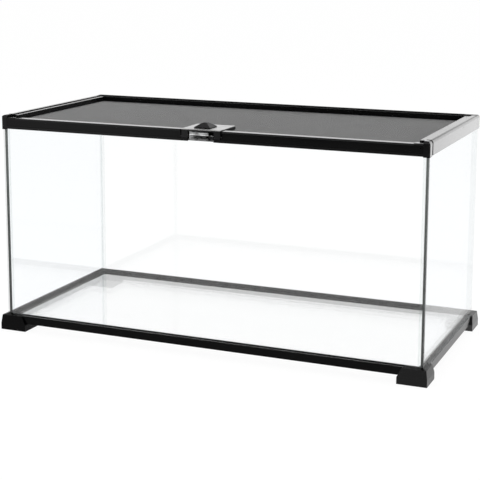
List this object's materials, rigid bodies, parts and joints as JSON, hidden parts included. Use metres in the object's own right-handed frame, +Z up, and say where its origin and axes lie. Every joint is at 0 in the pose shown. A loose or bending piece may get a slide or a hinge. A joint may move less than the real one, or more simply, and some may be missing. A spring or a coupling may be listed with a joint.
{
  "type": "reptile terrarium",
  "caption": "Long glass reptile terrarium with black corner feet, moulded top frame, sliding screen lid and a thumb-slide latch.",
  "frame": {"origin": "middle of the bounding box's footprint, on the floor plane that the four feet stand on", "axes": "+Z up, +X towards the tank's right side as seen from the front, -Y towards the front, where the lid slides out"},
  "size_m": [0.622, 0.292, 0.3115],
  "materials": {
    "frame_plastic": "fine satin grain, black",
    "lid_plastic": "smooth satin, black",
    "clear_glass": "clear float glass with a faint green edge",
    "silicone": "clear, slightly cloudy",
    "screen_wire": "black coated fine wire cloth",
    "latch_metal": "polished",
    "cover_metal": "finely brushed",
    "cord_rubber": "black, matt"
  },
  "bodies": {
    "tank": {"glass_front": "clear_glass", "glass_back": "clear_glass", "glass_left": "clear_glass", "glass_right": "clear_glass", "glass_floor": "clear_glass", "seal_front_left": "silicone", "seal_front_right": "silicone", "seal_back_left": "silicone", "seal_back_right": "silicone", "seal_floor": "silicone", "top_rail_front": "frame_plastic", "top_rail_back": "frame_plastic", "top_rail_left": "frame_plastic", "top_rail_right": "frame_plastic", "top_corner_front_left": "frame_plastic", "top_corner_front_right": "frame_plastic", "top_corner_back_left": "frame_plastic", "top_corner_back_right": "frame_plastic", "base_rail_front": "frame_plastic", "base_rail_back": "frame_plastic", "base_rail_left": "frame_plastic", "base_rail_right": "frame_plastic", "foot_front_left": "frame_plastic", "foot_front_right": "frame_plastic", "foot_back_left": "frame_plastic", "foot_back_right": "frame_plastic", "latch_strike": "cover_metal", "strike_rivets": "cover_metal"},
    "lid": {"lid_bar_front": "lid_plastic", "lid_bar_back": "lid_plastic", "lid_bar_left": "lid_plastic", "lid_bar_right": "lid_plastic", "lid_cap_left": "lid_plastic", "lid_cap_right": "lid_plastic", "lid_key_left": "lid_plastic", "lid_key_right": "lid_plastic", "lid_screen": "screen_wire", "screen_spline": "cord_rubber", "latch_housing": "lid_plastic", "latch_cover": "cover_metal", "latch_backing": "lid_plastic", "latch_rivets": "cover_metal"},
    "latch_slide": {"latch_bolt": "latch_metal", "thumb_slide": "lid_plastic"}
  },
  "joints": [
    {"name": "lid_slide", "type": "slide", "parent": "tank", "child": "lid", "axis": [0, -1, 0], "range_m": [0, 0.24]},
    {"name": "latch_slide", "type": "slide", "parent": "lid", "child": "latch_slide", "axis": [1, 0, 0], "range_m": [0, 0.0055]}
  ]
}
